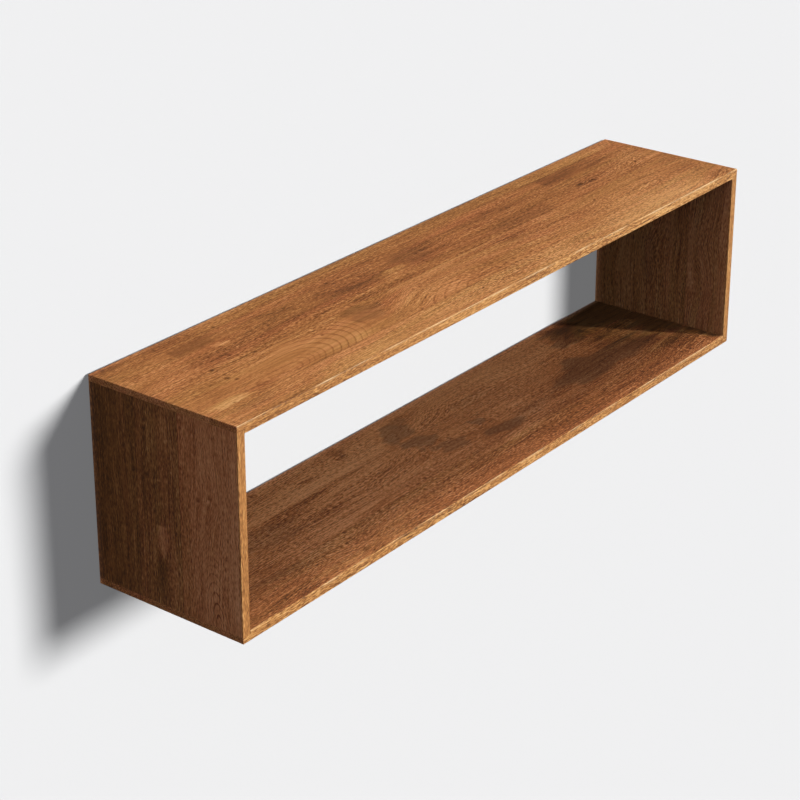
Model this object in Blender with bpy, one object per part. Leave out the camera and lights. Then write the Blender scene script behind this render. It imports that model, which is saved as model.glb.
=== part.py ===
"""Wall shelf: an open box of four solid wood boards, hung on two keyhole plates.

Each board is edge-glued from staves. The side boards stand in rebates cut in the ends of the
top and bottom boards, and dowels hold each corner. A steel keyhole plate with two screws is let
into the rear edge of each side board.

Frame: X runs along the shelf, the front faces -Y, the wall is the plane Y = 0, and Z is up. The
origin is the middle of the rear edge of the top board.
"""

import math

import bmesh
import bpy

MM = 0.001

# The whole shelf, over its outer faces
LENGTH = 1200 * MM
DEPTH = 250 * MM
HEIGHT = 300 * MM

# Boards and their joints
LONG_BOARD = 14 * MM  # thickness of the top and bottom boards
SIDE_BOARD = 14 * MM  # thickness of the side boards
REBATE = 5 * MM  # how far each side board reaches into a long board
GLUE_LINE = 0.3 * MM  # gap left between two glued faces
ARRIS = 0.8 * MM  # radius sanded on the outer arrises
ARRIS_STEPS = 3

# Glue lines between the staves of each board, at these shares of the depth from the wall
TOP_GLUE_SHARES = (0.112, 0.496, 0.824)
BOTTOM_GLUE_SHARES = (0.308, 0.716)
LEFT_GLUE_SHARES = (0.308, 0.604)
RIGHT_GLUE_SHARES = (0.300, 0.700)

# Corner dowels, four to a corner, at these shares of the depth from the wall
DOWEL_SHARES = (0.160, 0.408, 0.656, 0.904)
DOWEL_DIAMETER = 6 * MM
DOWEL_LENGTH = 30 * MM
DOWEL_CHAMFER = 0.8 * MM
DOWEL_FLUTES = 12
FLUTE_DEPTH = 0.25 * MM
DOWEL_COVER = 2.5 * MM  # wood between a bore and the outer face of the long board
BORE_CLEARANCE = 0.3 * MM  # between the dowel and the side of its bore
BORE_END_ROOM = 0.8 * MM  # room for glue past each end of the dowel

# Keyhole plates
PLATE_WIDTH = 11 * MM
PLATE_LENGTH = 46 * MM
PLATE_THICKNESS = 1.5 * MM
PLATE_DROP = 55 * MM  # from the top face down to the middle of the plate
PLATE_SINK = 0.2 * MM  # how far the plate lies below the rear edge of the board
SEAT_GAP = 0.3 * MM  # gap between the plate or a screw and what it sits on
KEY_ENTRY = 8.4 * MM  # diameter of the hole that the wall screw's head goes through
KEY_SLOT = 4.4 * MM  # width of the slot that its shank hangs in
KEY_TRAVEL = 12 * MM  # between the centres of the hole and of the slot's end
POCKET_WIDTH = 9.4 * MM  # groove behind the plate, for the screw's head
POCKET_DEPTH = 8 * MM

# Countersunk screws, two to a plate
SCREW_INSET = 5.5 * MM  # from the end of the plate
SCREW_DIAMETER = 3 * MM
SCREW_LENGTH = 16 * MM
SCREW_POINT = 3.5 * MM
SCREW_HEAD = 5.6 * MM
SCREW_HEAD_HEIGHT = 1.3 * MM
RECESS_SPAN = 3.2 * MM  # across the cross-shaped drive recess
RECESS_WIDTH = 0.8 * MM
RECESS_DEPTH = 0.9 * MM
RECESS_FLOOR_SHARE = 0.5  # size of the recess at its floor, as a share of its size at the face

OVERRUN = 1 * MM  # how far a cutter runs past the face it cuts
BORE_SIDES = 24
ARC_STEPS = 16  # sides of each half circle of a plate, slot or pocket

# Places that several pieces share
LIP = LONG_BOARD - REBATE
SIDE_X = LENGTH / 2 - SIDE_BOARD / 2
SHOULDER_X = LENGTH / 2 - SIDE_BOARD - GLUE_LINE
BOTTOM_Z = LONG_BOARD - HEIGHT
SIDE_Z = BOTTOM_Z / 2
SIDE_HEIGHT = HEIGHT - 2 * (LIP + GLUE_LINE)
PLATE_Z = LONG_BOARD / 2 - PLATE_DROP
PLATE_FLOOR = PLATE_SINK + PLATE_THICKNESS + SEAT_GAP
SCREW_OFFSET = PLATE_LENGTH / 2 - SCREW_INSET


def clear_scene():
    """Remove what a new file starts with."""
    for item in list(bpy.data.objects):
        bpy.data.objects.remove(item, do_unlink=True)


def make_material(name, colour, roughness, metallic=0.0):
    """Principled material with a linear base colour."""
    material = bpy.data.materials.new(name)
    material.use_nodes = True
    shader = material.node_tree.nodes["Principled BSDF"]
    shader.inputs["Base Color"].default_value = (*colour, 1.0)
    shader.inputs["Roughness"].default_value = roughness
    shader.inputs["Metallic"].default_value = metallic
    material.diffuse_color = (*colour, 1.0)
    return material


def finish_mesh(name, bm):
    """Turn every face outwards and store the mesh."""
    bmesh.ops.recalc_face_normals(bm, faces=bm.faces)
    mesh = bpy.data.meshes.new(name)
    bm.to_mesh(mesh)
    bm.free()
    return mesh


def add_object(name, mesh, parent, location=(0, 0, 0), material=None):
    """Place a mesh under its parent, as a piece of the shelf if it has a material."""
    item = bpy.data.objects.new(name, mesh)
    bpy.context.collection.objects.link(item)
    item.parent = parent
    item.location = location
    if material is None:
        item.display_type = "WIRE"
        item.hide_render = True
    elif not mesh.materials:
        mesh.materials.append(material)
    return item


def add_cut(item, cutter):
    """Cut one object out of another."""
    cut = item.modifiers.new("cut_" + cutter.name, "BOOLEAN")
    cut.operation = "DIFFERENCE"
    cut.solver = "EXACT"
    cut.object = cutter


def rings_mesh(name, rings):
    """Closed skin over rings of as many points each; a ring of one point closes to a tip."""
    bm = bmesh.new()
    loops = [[bm.verts.new(point) for point in ring] for ring in rings]
    for low, high in zip(loops, loops[1:]):
        count = max(len(low), len(high))
        for i in range(count):
            corners = [low[i % len(low)], low[(i + 1) % len(low)]]
            corners += [high[(i + 1) % len(high)], high[i % len(high)]]
            bm.faces.new(list(dict.fromkeys(corners)))
    for loop in (loops[0], loops[-1]):
        if len(loop) > 1:
            bm.faces.new(loop)
    return finish_mesh(name, bm)


def turned_mesh(name, profile, sides):
    """Solid turned round Z from a list of radius and height, a zero radius being a tip."""
    rings = []
    for radius, height in profile:
        steps = sides if radius > 0 else 1
        turns = [math.tau * i / sides for i in range(steps)]
        rings.append([(radius * math.cos(t), radius * math.sin(t), height) for t in turns])
    return rings_mesh(name, rings)


def outline_mesh(name, outline, rear, front):
    """Solid with an outline in X and Z, carried along Y from its rear to its front."""
    return rings_mesh(name, [[(x, y, z) for x, z in outline] for y in (rear, front)])


def board_mesh(name, outline, width, sides, corners, at_rear, at_front):
    """Stave with an outline in X and Z and its width along Y, its arrises weighted for rounding.

    Side i of the outline runs from point i to the next. The sides listed are rounded where the
    stave ends at the shelf's rear or front, and the corners listed along the whole width.
    """
    mesh = outline_mesh(name, outline, width / 2, -width / 2)
    count = len(outline)
    weighted = {frozenset((i, i + count)) for i in corners}
    for ring, shown in ((0, at_rear), (count, at_front)):
        if shown:
            weighted |= {frozenset((ring + i, ring + (i + 1) % count)) for i in sides}
    weights = mesh.attributes.new("bevel_weight_edge", "FLOAT", "EDGE")
    for edge in mesh.edges:
        weights.data[edge.index].value = float(frozenset(edge.vertices) in weighted)
    return mesh


def round_arrises(item):
    """Round the weighted edges of a stave."""
    bevel = item.modifiers.new("arrises", "BEVEL")
    bevel.limit_method = "WEIGHT"
    bevel.width = ARRIS
    bevel.segments = ARRIS_STEPS


def stave_spans(glue_shares):
    """Rear and front Y of each stave, with half a glue line taken off each glued edge."""
    lines = [-DEPTH * share for share in glue_shares]
    rears = [0] + [y - GLUE_LINE / 2 for y in lines]
    fronts = [y + GLUE_LINE / 2 for y in lines] + [-DEPTH]
    return list(zip(rears, fronts))


def stave_names(count):
    """Names of a board's staves from the wall to the front."""
    if count == 3:
        return ("rear", "middle", "front")
    return ("rear", "mid_rear", "mid_front", "front")


def add_board(board, outline, sides, corners, glue_shares, place, parent, material):
    """Make the staves of one board; place is the X and Z of the board's middle."""
    staves = []
    spans = stave_spans(glue_shares)
    for (rear, front), part in zip(spans, stave_names(len(spans))):
        name = board + "_stave_" + part
        ends = (rear == 0, front == -DEPTH)
        mesh = board_mesh(name, outline, rear - front, sides, corners, *ends)
        location = (place[0], (rear + front) / 2, place[1])
        stave = add_object(name, mesh, parent, location, material)
        round_arrises(stave)
        staves.append(stave)
    return staves


def long_outline(up):
    """Outline of the top board (up = 1) or the bottom board (up = -1), rebated at both ends."""
    outer = up * LONG_BOARD / 2
    lip = outer - up * LIP
    return [
        (-LENGTH / 2, outer),
        (LENGTH / 2, outer),
        (LENGTH / 2, lip),
        (SHOULDER_X, lip),
        (SHOULDER_X, -outer),
        (-SHOULDER_X, -outer),
        (-SHOULDER_X, lip),
        (-LENGTH / 2, lip),
    ]


def side_outline():
    """Outline of a side board, between the lips of the long boards."""
    x = SIDE_BOARD / 2
    z = SIDE_HEIGHT / 2
    return [(-x, z), (x, z), (x, -z), (-x, -z)]


def dowel_mesh():
    """Fluted dowel along Z with chamfered ends."""
    sides = 2 * DOWEL_FLUTES

    def ring(inset, height):
        points = []
        for i in range(sides):
            radius = DOWEL_DIAMETER / 2 - inset - (FLUTE_DEPTH if i % 2 else 0)
            turn = math.tau * i / sides
            points.append((radius * math.cos(turn), radius * math.sin(turn), height))
        return points

    half = DOWEL_LENGTH / 2
    return rings_mesh("dowel", [
        ring(DOWEL_CHAMFER, -half),
        ring(0, DOWEL_CHAMFER - half),
        ring(0, half - DOWEL_CHAMFER),
        ring(DOWEL_CHAMFER, half),
    ])


def bore_mesh():
    """Bore for one dowel, with its clearance and its room for glue."""
    radius = DOWEL_DIAMETER / 2 + BORE_CLEARANCE
    half = DOWEL_LENGTH / 2 + BORE_END_ROOM
    return turned_mesh("dowel_bore", [(radius, -half), (radius, half)], BORE_SIDES)


def join_corner(corner, hand, up, staves, meshes, parent, material):
    """Bore both boards at one corner and put its dowels in.

    hand is -1 at the left and 1 at the right, up is 1 at the top and -1 at the bottom.
    """
    dowel, bore = meshes
    outer_z = LONG_BOARD / 2 if up > 0 else LONG_BOARD / 2 - HEIGHT
    end_z = outer_z - up * (DOWEL_COVER + BORE_END_ROOM)
    middle_z = end_z - up * DOWEL_LENGTH / 2
    for i, share in enumerate(DOWEL_SHARES, 1):
        location = (hand * SIDE_X, -DEPTH * share, middle_z)
        add_object(f"dowel_{corner}_{i}", dowel, parent, location, material)
        cutter = add_object(f"bore_{corner}_{i}", bore, parent, location)
        reach = DOWEL_DIAMETER / 2 + BORE_CLEARANCE
        for stave in staves:
            half = stave.data.vertices[0].co.y
            if abs(stave.location.y - location[1]) < half + reach:
                add_cut(stave, cutter)


def slot_outline(width, low, high):
    """Upright slot with round ends whose centres lie at the heights low and high."""
    radius = width / 2
    turns = [math.pi * i / ARC_STEPS for i in range(ARC_STEPS + 1)]
    upper = [(radius * math.cos(t), high + radius * math.sin(t)) for t in turns]
    lower = [(-radius * math.cos(t), low - radius * math.sin(t)) for t in turns]
    return upper + lower


def keyhole_outline():
    """Round hole with a narrower slot that runs up from it to a round end."""
    hole = KEY_ENTRY / 2
    slot = KEY_SLOT / 2
    meet = math.asin(slot / hole)
    sweep = math.tau - 2 * meet
    low = -KEY_TRAVEL / 2
    high = KEY_TRAVEL / 2
    points = []
    for i in range(2 * ARC_STEPS + 1):
        turn = math.pi / 2 + meet + sweep * i / (2 * ARC_STEPS)
        points.append((hole * math.cos(turn), low + hole * math.sin(turn)))
    for i in range(ARC_STEPS + 1):
        turn = math.pi * i / ARC_STEPS
        points.append((slot * math.cos(turn), high + slot * math.sin(turn)))
    return points


def plate_mesh():
    """Flat plate with round ends; its outer face is at Y = 0."""
    run = (PLATE_LENGTH - PLATE_WIDTH) / 2
    return outline_mesh("keyhole_plate", slot_outline(PLATE_WIDTH, -run, run), 0, -PLATE_THICKNESS)


def screw_head_profile(grow):
    """Radius and height down a countersunk head whose top is at zero, grown for its seat."""
    rim = SCREW_HEAD / 2 + grow
    neck = SCREW_DIAMETER / 2 + grow
    return [(rim, 0), (neck, -SCREW_HEAD_HEIGHT)]


def screw_mesh():
    """Countersunk wood screw along Z, its head's top at zero."""
    shank = SCREW_DIAMETER / 2
    profile = [(0, 0)] + screw_head_profile(0)
    profile += [(shank, SCREW_POINT - SCREW_LENGTH), (0, -SCREW_LENGTH)]
    return turned_mesh("plate_screw", profile, BORE_SIDES)


def screw_seat_mesh():
    """Countersunk hole for a screw, open above its head and past its point."""
    rim, neck = screw_head_profile(SEAT_GAP)
    profile = [(rim[0], OVERRUN), rim, neck, (neck[0], -SCREW_LENGTH - SEAT_GAP)]
    return turned_mesh("screw_seat", profile, BORE_SIDES)


def recess_mesh():
    """Cross-shaped drive recess that narrows to its floor, open above the screw's head."""
    long = RECESS_SPAN / 2
    short = RECESS_WIDTH / 2
    arm = [(long, -short), (long, short), (short, short)]
    cross = []
    for quarter in range(4):
        turn = quarter * math.pi / 2
        for x, y in arm:
            cross.append((
                x * math.cos(turn) - y * math.sin(turn),
                x * math.sin(turn) + y * math.cos(turn),
            ))
    low = RECESS_FLOOR_SHARE
    high = 2 - RECESS_FLOOR_SHARE
    return rings_mesh("drive_recess", [
        [(x * low, y * low, -RECESS_DEPTH) for x, y in cross],
        [(x * high, y * high, RECESS_DEPTH) for x, y in cross],
    ])


def add_hanger(name, hand, stave, meshes, parent, steel):
    """Let a keyhole plate into the rear edge of a side board and screw it down."""
    plate_shape, screw_shape, recess_shape = meshes
    at = (hand * SIDE_X, -PLATE_SINK, PLATE_Z)
    plate = add_object("keyhole_plate_" + name, plate_shape, parent, at, steel)

    key = outline_mesh("keyhole", keyhole_outline(), OVERRUN, -PLATE_THICKNESS - OVERRUN)
    add_cut(plate, add_object("keyhole_" + name, key, plate))

    run = (PLATE_LENGTH - PLATE_WIDTH) / 2
    bed_outline = slot_outline(PLATE_WIDTH + 2 * SEAT_GAP, -run, run)
    bed = outline_mesh("plate_bed", bed_outline, OVERRUN, PLATE_SINK - PLATE_FLOOR)
    add_cut(stave, add_object("plate_bed_" + name, bed, plate))

    pocket_outline = slot_outline(POCKET_WIDTH, -KEY_TRAVEL / 2, KEY_TRAVEL / 2)
    pocket_floor = PLATE_SINK - PLATE_FLOOR - POCKET_DEPTH
    pocket = outline_mesh("head_pocket", pocket_outline, OVERRUN, pocket_floor)
    add_cut(stave, add_object("head_pocket_" + name, pocket, plate))

    for end, offset in (("upper", SCREW_OFFSET), ("lower", -SCREW_OFFSET)):
        seat = add_object(f"screw_seat_{name}_{end}", screw_seat_mesh(), plate, (0, 0, offset))
        seat.rotation_euler.x = -math.pi / 2
        add_cut(plate, seat)
        add_cut(stave, seat)
        place = (at[0], at[1] - SEAT_GAP / 2, at[2] + offset)
        screw = add_object(f"plate_screw_{name}_{end}", screw_shape, parent, place, steel)
        screw.rotation_euler.x = -math.pi / 2
        recess = add_object(f"drive_recess_{name}_{end}", recess_shape, screw)
        add_cut(screw, recess)


def build_shelf():
    """Make every piece of the shelf under one empty at the frame's origin."""
    shelf = bpy.data.objects.new("shelf", None)
    bpy.context.collection.objects.link(shelf)
    mango = make_material("oiled_mango", (0.36, 0.15, 0.055), 0.45)
    beech = make_material("beech", (0.62, 0.44, 0.26), 0.6)
    steel = make_material("zinc_plated_steel", (0.62, 0.62, 0.60), 0.35, 1.0)

    long_sides = (0, 1, 4, 7)
    long_corners = (0, 1)
    side_sides = (1, 3)
    boards = {
        "top": add_board("top", long_outline(1), long_sides, long_corners,
                         TOP_GLUE_SHARES, (0, 0), shelf, mango),
        "bottom": add_board("bottom", long_outline(-1), long_sides, long_corners,
                            BOTTOM_GLUE_SHARES, (0, BOTTOM_Z), shelf, mango),
        "left": add_board("left", side_outline(), side_sides, (),
                          LEFT_GLUE_SHARES, (-SIDE_X, SIDE_Z), shelf, mango),
        "right": add_board("right", side_outline(), side_sides, (),
                           RIGHT_GLUE_SHARES, (SIDE_X, SIDE_Z), shelf, mango),
    }

    dowels = (dowel_mesh(), bore_mesh())
    for long_name, up in (("top", 1), ("bottom", -1)):
        for side_name, hand in (("left", -1), ("right", 1)):
            staves = boards[long_name] + boards[side_name]
            corner = long_name + "_" + side_name
            join_corner(corner, hand, up, staves, dowels, shelf, beech)

    hanger = (plate_mesh(), screw_mesh(), recess_mesh())
    for side_name, hand in (("left", -1), ("right", 1)):
        add_hanger(side_name, hand, boards[side_name][0], hanger, shelf, steel)
    return shelf


clear_scene()
build_shelf()
bpy.context.view_layer.update()
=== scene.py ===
# %% [markdown]
# # An oiled hardwood box shelf
# The shelf is an open box of four boards that hangs flat on a wall. Each board is glued up from
# staves, so what the eye sees is the figure of thirteen pieces of wood that stop dead at each
# other's edges. The CAD model gives every place and size. This script dresses it: each stave gets
# a finer skin with its own figure, and the hidden hardware gets its finish.

import math

import bpy
import numpy as np
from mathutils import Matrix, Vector


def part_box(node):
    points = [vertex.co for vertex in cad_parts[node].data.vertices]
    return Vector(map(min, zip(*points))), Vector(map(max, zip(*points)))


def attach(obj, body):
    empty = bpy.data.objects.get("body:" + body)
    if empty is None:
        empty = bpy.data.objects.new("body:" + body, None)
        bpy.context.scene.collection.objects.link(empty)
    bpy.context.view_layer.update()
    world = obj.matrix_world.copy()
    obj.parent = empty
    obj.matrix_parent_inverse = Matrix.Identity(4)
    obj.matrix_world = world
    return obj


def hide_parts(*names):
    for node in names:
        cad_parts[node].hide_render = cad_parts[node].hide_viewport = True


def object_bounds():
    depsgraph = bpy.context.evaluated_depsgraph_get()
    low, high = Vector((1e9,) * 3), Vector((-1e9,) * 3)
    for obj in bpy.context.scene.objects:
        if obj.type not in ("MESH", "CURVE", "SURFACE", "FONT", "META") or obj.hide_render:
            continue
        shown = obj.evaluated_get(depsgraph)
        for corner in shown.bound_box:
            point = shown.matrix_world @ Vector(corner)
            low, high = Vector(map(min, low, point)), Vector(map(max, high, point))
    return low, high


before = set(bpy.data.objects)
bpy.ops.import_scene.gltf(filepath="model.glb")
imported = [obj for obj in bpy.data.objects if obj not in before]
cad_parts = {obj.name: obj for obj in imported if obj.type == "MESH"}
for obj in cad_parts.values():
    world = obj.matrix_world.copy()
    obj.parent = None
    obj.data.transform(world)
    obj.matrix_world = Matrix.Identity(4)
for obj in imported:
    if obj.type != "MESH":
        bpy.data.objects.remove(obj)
cad_box = [list(corner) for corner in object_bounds()]
print("CAD nodes:", len(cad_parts), "box:", np.round(cad_box, 4).tolist())

# %% [markdown]
# ## Two small helpers
# Colours are written the way a paint chart gives them, as sRGB hex, while the shaders want linear
# light. Shader trees are long lists of nodes, so one function adds a node, sets it and links it.

# %% Colour and node helpers
MM = 0.001


def linear(hex_colour):
    """Linear RGBA of an sRGB hex: c / 12.92 to 0.04045, then ((c + 0.055) / 1.055) ** 2.4."""
    srgb = np.array([int(hex_colour[i:i + 2], 16) / 255 for i in (1, 3, 5)])
    light = np.where(srgb <= 0.04045, srgb / 12.92, ((srgb + 0.055) / 1.055) ** 2.4)
    return (*light.tolist(), 1.0)


def add_node(tree, kind, inputs=None, **settings):
    """Add a node; inputs gives sockets a value or another node's output, settings its options."""
    node = tree.nodes.new("ShaderNode" + kind)
    for name, value in settings.items():
        setattr(node, name, value)
    for socket, value in (inputs or {}).items():
        if isinstance(value, bpy.types.NodeSocket):
            tree.links.new(value, node.inputs[socket])
        else:
            node.inputs[socket].default_value = value
    return node


print("mango brown in linear light:", np.round(linear("#CB8B59"), 3).tolist())

# %% [markdown]
# ## The camera
# A long lens from the front left, a little above the shelf. The lens, the place and the small
# shift were worked out from the corners of the four boards.

# %% Camera
CAMERA_PLACE = (-2.3256, -1.8298, 1.1296)
CAMERA_AZIMUTH = -52.298  # degrees; 0 looks straight at the wall
CAMERA_ELEVATION = 21.828  # degrees that it looks down
SENSOR_WIDTH, LENS = 36, 97.478  # mm
SHIFT = -0.15  # of the frame, so that upright edges converge less

camera = bpy.data.objects.new("camera", bpy.data.cameras.new("camera"))
camera.data.sensor_width = SENSOR_WIDTH
camera.data.lens = LENS
camera.data.shift_y = SHIFT
camera.location = CAMERA_PLACE
camera.rotation_euler = (math.radians(90 - CAMERA_ELEVATION), 0, math.radians(CAMERA_AZIMUTH))
bpy.context.scene.collection.objects.link(camera)
bpy.context.scene.camera = camera
print("camera at", CAMERA_PLACE, "lens", LENS)

# %% [markdown]
# ## Light
# One large soft lamp stands in front of the shelf, to its right and not far above it, so a broad
# soft shadow falls to the left on the wall. The shadow on the lower board is crisper, so the wood
# is lit by a narrower key that stands a little further to the right. A second lamp hangs overhead,
# and a dim dome fills the rest, brighter overhead and to the left. The wood shows no light thrown
# from one board to another, as in a studio hung with black cloth, so that is left out.

# %% Lamps
TO_WALL_KEY = Vector((0.4375, -1.0, 0.259))
TO_WOOD_KEY = TO_WALL_KEY + Vector((0.105, 0, 0))
KEY_STRENGTH, OVERHEAD_STRENGTH = 2.78, 2.3  # the wall hides half of the overhead lamp
WALL_KEY_WIDTH, WOOD_KEY_WIDTH, OVERHEAD_WIDTH = 15.5, 3.5, 30  # degrees


def soft_lamp(name, to_lamp, strength, width):
    """A far lamp in the direction to_lamp that looks width degrees across."""
    lamp = bpy.data.objects.new(name, bpy.data.lights.new(name, "SUN"))
    lamp.data.energy = strength
    lamp.data.angle = math.radians(width)
    lamp.rotation_euler = to_lamp.to_track_quat("Z", "Y").to_euler()
    bpy.context.scene.collection.objects.link(lamp)
    return lamp


key = soft_lamp("key", TO_WOOD_KEY, KEY_STRENGTH, WOOD_KEY_WIDTH)
overhead = soft_lamp("overhead", Vector((0, 0, 1)), OVERHEAD_STRENGTH, OVERHEAD_WIDTH)
bpy.context.scene.cycles.diffuse_bounces = 0  # no light from board to board
print("key", KEY_STRENGTH, "overhead", OVERHEAD_STRENGTH)

# %% Dome and backdrop
DOME = {"all round": 0.18, "overhead": 0.20, "left": 0.30}
DOME_COLOUR = (1.0, 1.02, 1.42, 1.0)  # a little blue, like daylight beside the warmer key
BACKDROP = "#F0F0F0"

world = bpy.data.worlds.new("studio")
world.use_nodes = True
bpy.context.scene.world = world
bpy.context.scene.view_settings.view_transform = "Standard"
tree = world.node_tree
tree.nodes.clear()
ray = add_node(tree, "LightPath")
heading = add_node(tree, "TexCoord")
part = add_node(tree, "SeparateXYZ", {0: heading.outputs["Generated"]})
upper = add_node(tree, "Math", {0: part.outputs["Z"], 1: 0.0}, operation="MAXIMUM")
left = add_node(tree, "Math", {0: part.outputs["X"], 1: 0.0}, operation="MINIMUM")
glow = add_node(tree, "Math", {0: upper.outputs[0], 1: DOME["overhead"], 2: DOME["all round"]},
                operation="MULTIPLY_ADD")
glow = add_node(tree, "Math", {0: left.outputs[0], 1: -DOME["left"], 2: glow.outputs[0]},
                operation="MULTIPLY_ADD")
dome = add_node(tree, "Background", {"Color": DOME_COLOUR, "Strength": glow.outputs[0]})
backdrop = add_node(tree, "Background", {"Color": linear(BACKDROP), "Strength": 1.0})
seen = add_node(tree, "MixShader", {
    0: ray.outputs["Is Camera Ray"],
    1: dome.outputs[0],
    2: backdrop.outputs[0],
})
add_node(tree, "OutputWorld", {0: seen.outputs[0]})
print("dome", DOME, "backdrop", BACKDROP)

# %% [markdown]
# ## Wall and floor
# The paint is a tenth as pale as it looks, with a lamp of its own ten times as strong as the key,
# and a little glow that stands for the light a white studio throws back. So the wall's shadow has
# one even grey. The wall shows only from its front, so the shelf can be seen from behind too, and
# light that starts within a few millimetres of it passes through, so that the edges that touch it
# aren't black. Far from the shelf both sheets melt into the backdrop, so no edge or horizon shows.

# %% Paint for the wall and the floor
WHITE, PAINT_SHARE = 0.9, 0.1  # what the paint throws back, and the share of it that is kept
UNSEEN_PAINT = (0.01, 0.01, 0.01, 1.0)  # what the shelf sees of it
FADE_FROM, FADE_TO = 8.0, 25.0  # m from the shelf


def emulsion(name, glow):
    """Flat white paint, darkened to its share, plus a glow; nearly black but to the camera."""
    material = bpy.data.materials.new(name)
    material.use_nodes = True
    tree = material.node_tree
    tree.nodes.clear()
    ray = add_node(tree, "LightPath")
    paint = add_node(tree, "BsdfDiffuse", {"Color": (WHITE * PAINT_SHARE,) * 3 + (1.0,)})
    lit = add_node(tree, "Emission", {"Strength": glow})
    both = add_node(tree, "AddShader", {0: paint.outputs[0], 1: lit.outputs[0]})
    dark = add_node(tree, "BsdfDiffuse", {"Color": UNSEEN_PAINT})
    seen = add_node(tree, "MixShader", {
        0: ray.outputs["Is Camera Ray"],
        1: dark.outputs[0],
        2: both.outputs[0],
    })
    return material, seen.outputs[0]


def far_away(tree):
    """0 near the shelf and 1 far from it: a smooth step on the distance to the frame's origin."""
    place = add_node(tree, "TexCoord")
    reach = add_node(tree, "VectorMath", {0: place.outputs["Object"]}, operation="LENGTH")
    fade = add_node(tree, "MapRange", {"Value": reach.outputs["Value"], "From Min": FADE_FROM,
                                       "From Max": FADE_TO}, interpolation_type="SMOOTHSTEP")
    return fade.outputs[0]


def let_through(tree, paint, share):
    """Make the surface paint where share is 0 and clear where it is 1."""
    clear = add_node(tree, "BsdfTransparent")
    surface = add_node(tree, "MixShader", {0: share, 1: paint, 2: clear.outputs[0]})
    add_node(tree, "OutputMaterial", {0: surface.outputs[0]})


print("paint kept:", PAINT_SHARE, "fades from", FADE_FROM, "to", FADE_TO, "m")

# %% Wall and floor
WALL_Y, FLOOR_Z = 3.2 * MM, -2.6
FAR = 40.0  # m that the sheets reach to each side
SHORT_RAY = 14 * MM  # light that has come less far than this passes through the wall
WALL_GLOW, FLOOR_GLOW = 0.145, 0.66


def stage_sheet(name, corners, material):
    """One flat rectangle that belongs to the stage."""
    mesh = bpy.data.meshes.new(name)
    mesh.from_pydata(corners, [], [(0, 1, 2, 3)])
    mesh.materials.append(material)
    sheet = bpy.data.objects.new(name, mesh)
    bpy.context.scene.collection.objects.link(sheet)
    return sheet


wall_paint, paint = emulsion("wall_emulsion", WALL_GLOW)
tree = wall_paint.node_tree
facing = add_node(tree, "NewGeometry")
ray = add_node(tree, "LightPath")
clear = add_node(tree, "Math", {0: ray.outputs["Ray Length"], 1: SHORT_RAY},
                 operation="LESS_THAN")
for share in (facing.outputs["Backfacing"], far_away(tree)):
    clear = add_node(tree, "Math", {0: clear.outputs[0], 1: share}, operation="MAXIMUM")
let_through(tree, paint, clear.outputs[0])
wall = stage_sheet("wall", [
    (-FAR, WALL_Y, FLOOR_Z), (FAR, WALL_Y, FLOOR_Z), (FAR, WALL_Y, FAR), (-FAR, WALL_Y, FAR),
], wall_paint)

floor_paint, paint = emulsion("floor_emulsion", FLOOR_GLOW)
let_through(floor_paint.node_tree, paint, far_away(floor_paint.node_tree))
floor = stage_sheet("floor", [
    (-FAR, -FAR, FLOOR_Z), (FAR, -FAR, FLOOR_Z), (FAR, FAR, FLOOR_Z), (-FAR, FAR, FLOOR_Z),
], floor_paint)
floor.visible_shadow = False
print("wall at y", WALL_Y, "floor at z", FLOOR_Z)

# %% Which lamp lights what
def light_only(lamp, sheets, link_state):
    """Let a lamp light only these sheets (INCLUDE) or all but these (EXCLUDE)."""
    group = bpy.data.collections.new(lamp.name + "_lights")
    for sheet in sheets:
        group.objects.link(sheet)
    for member in group.collection_objects:
        member.light_linking.link_state = link_state
    lamp.light_linking.receiver_collection = group


stage_key = soft_lamp("stage_key", TO_WALL_KEY, KEY_STRENGTH / PAINT_SHARE, WALL_KEY_WIDTH)
light_only(stage_key, [wall, floor], "INCLUDE")
light_only(key, [wall, floor], "EXCLUDE")
light_only(overhead, [wall, floor], "EXCLUDE")
print("stage lamp", round(stage_key.data.energy, 1))

# %% [markdown]
# ## Places on a board
# A joiner marks a board along its grain, across it, and down from its show face. Every pattern
# below is written in those three lengths, in millimetres: along from the left or top end, across
# from the wall, and deep from the face that is seen.

# %% From the frame to along, across and deep
HALF_LENGTH = 600.0
BOARD_DEPTH = 250.0
TOP_FACE = 7.0
SHELF_FACE = -279.0
SIDE_INNER = 586.0
LONG_BOARDS = ("top", "bottom")


def board_of(node):
    """The board that a stave belongs to: the first word of its name."""
    return node.split("_")[0]


def on_board(board, points):
    """Along, across and deep, in mm, of points of the frame: each is an axis, moved or turned."""
    x, y, z = points.T / MM
    if board == "top":
        return x + HALF_LENGTH, -y, TOP_FACE - z
    if board == "bottom":
        return x + HALF_LENGTH, -y, SHELF_FACE - z
    if board == "left":
        return TOP_FACE - z, -y, x + HALF_LENGTH
    return TOP_FACE - z, -y, x - SIDE_INNER


corner = on_board("top", np.array([[0.6, -0.25, 0.007]]))
print("front right corner of the top board:", [round(float(c[0]), 1) for c in corner])

# %% [markdown]
# ## Figure: smooth wander
# Nothing in wood is quite straight. A lattice of random numbers, blended so that it has no
# creases, gives a slow wander that bends lines and blurs the rims of stains.

# %% Smooth random wander
LATTICE = 64  # random numbers each way before they repeat


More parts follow.
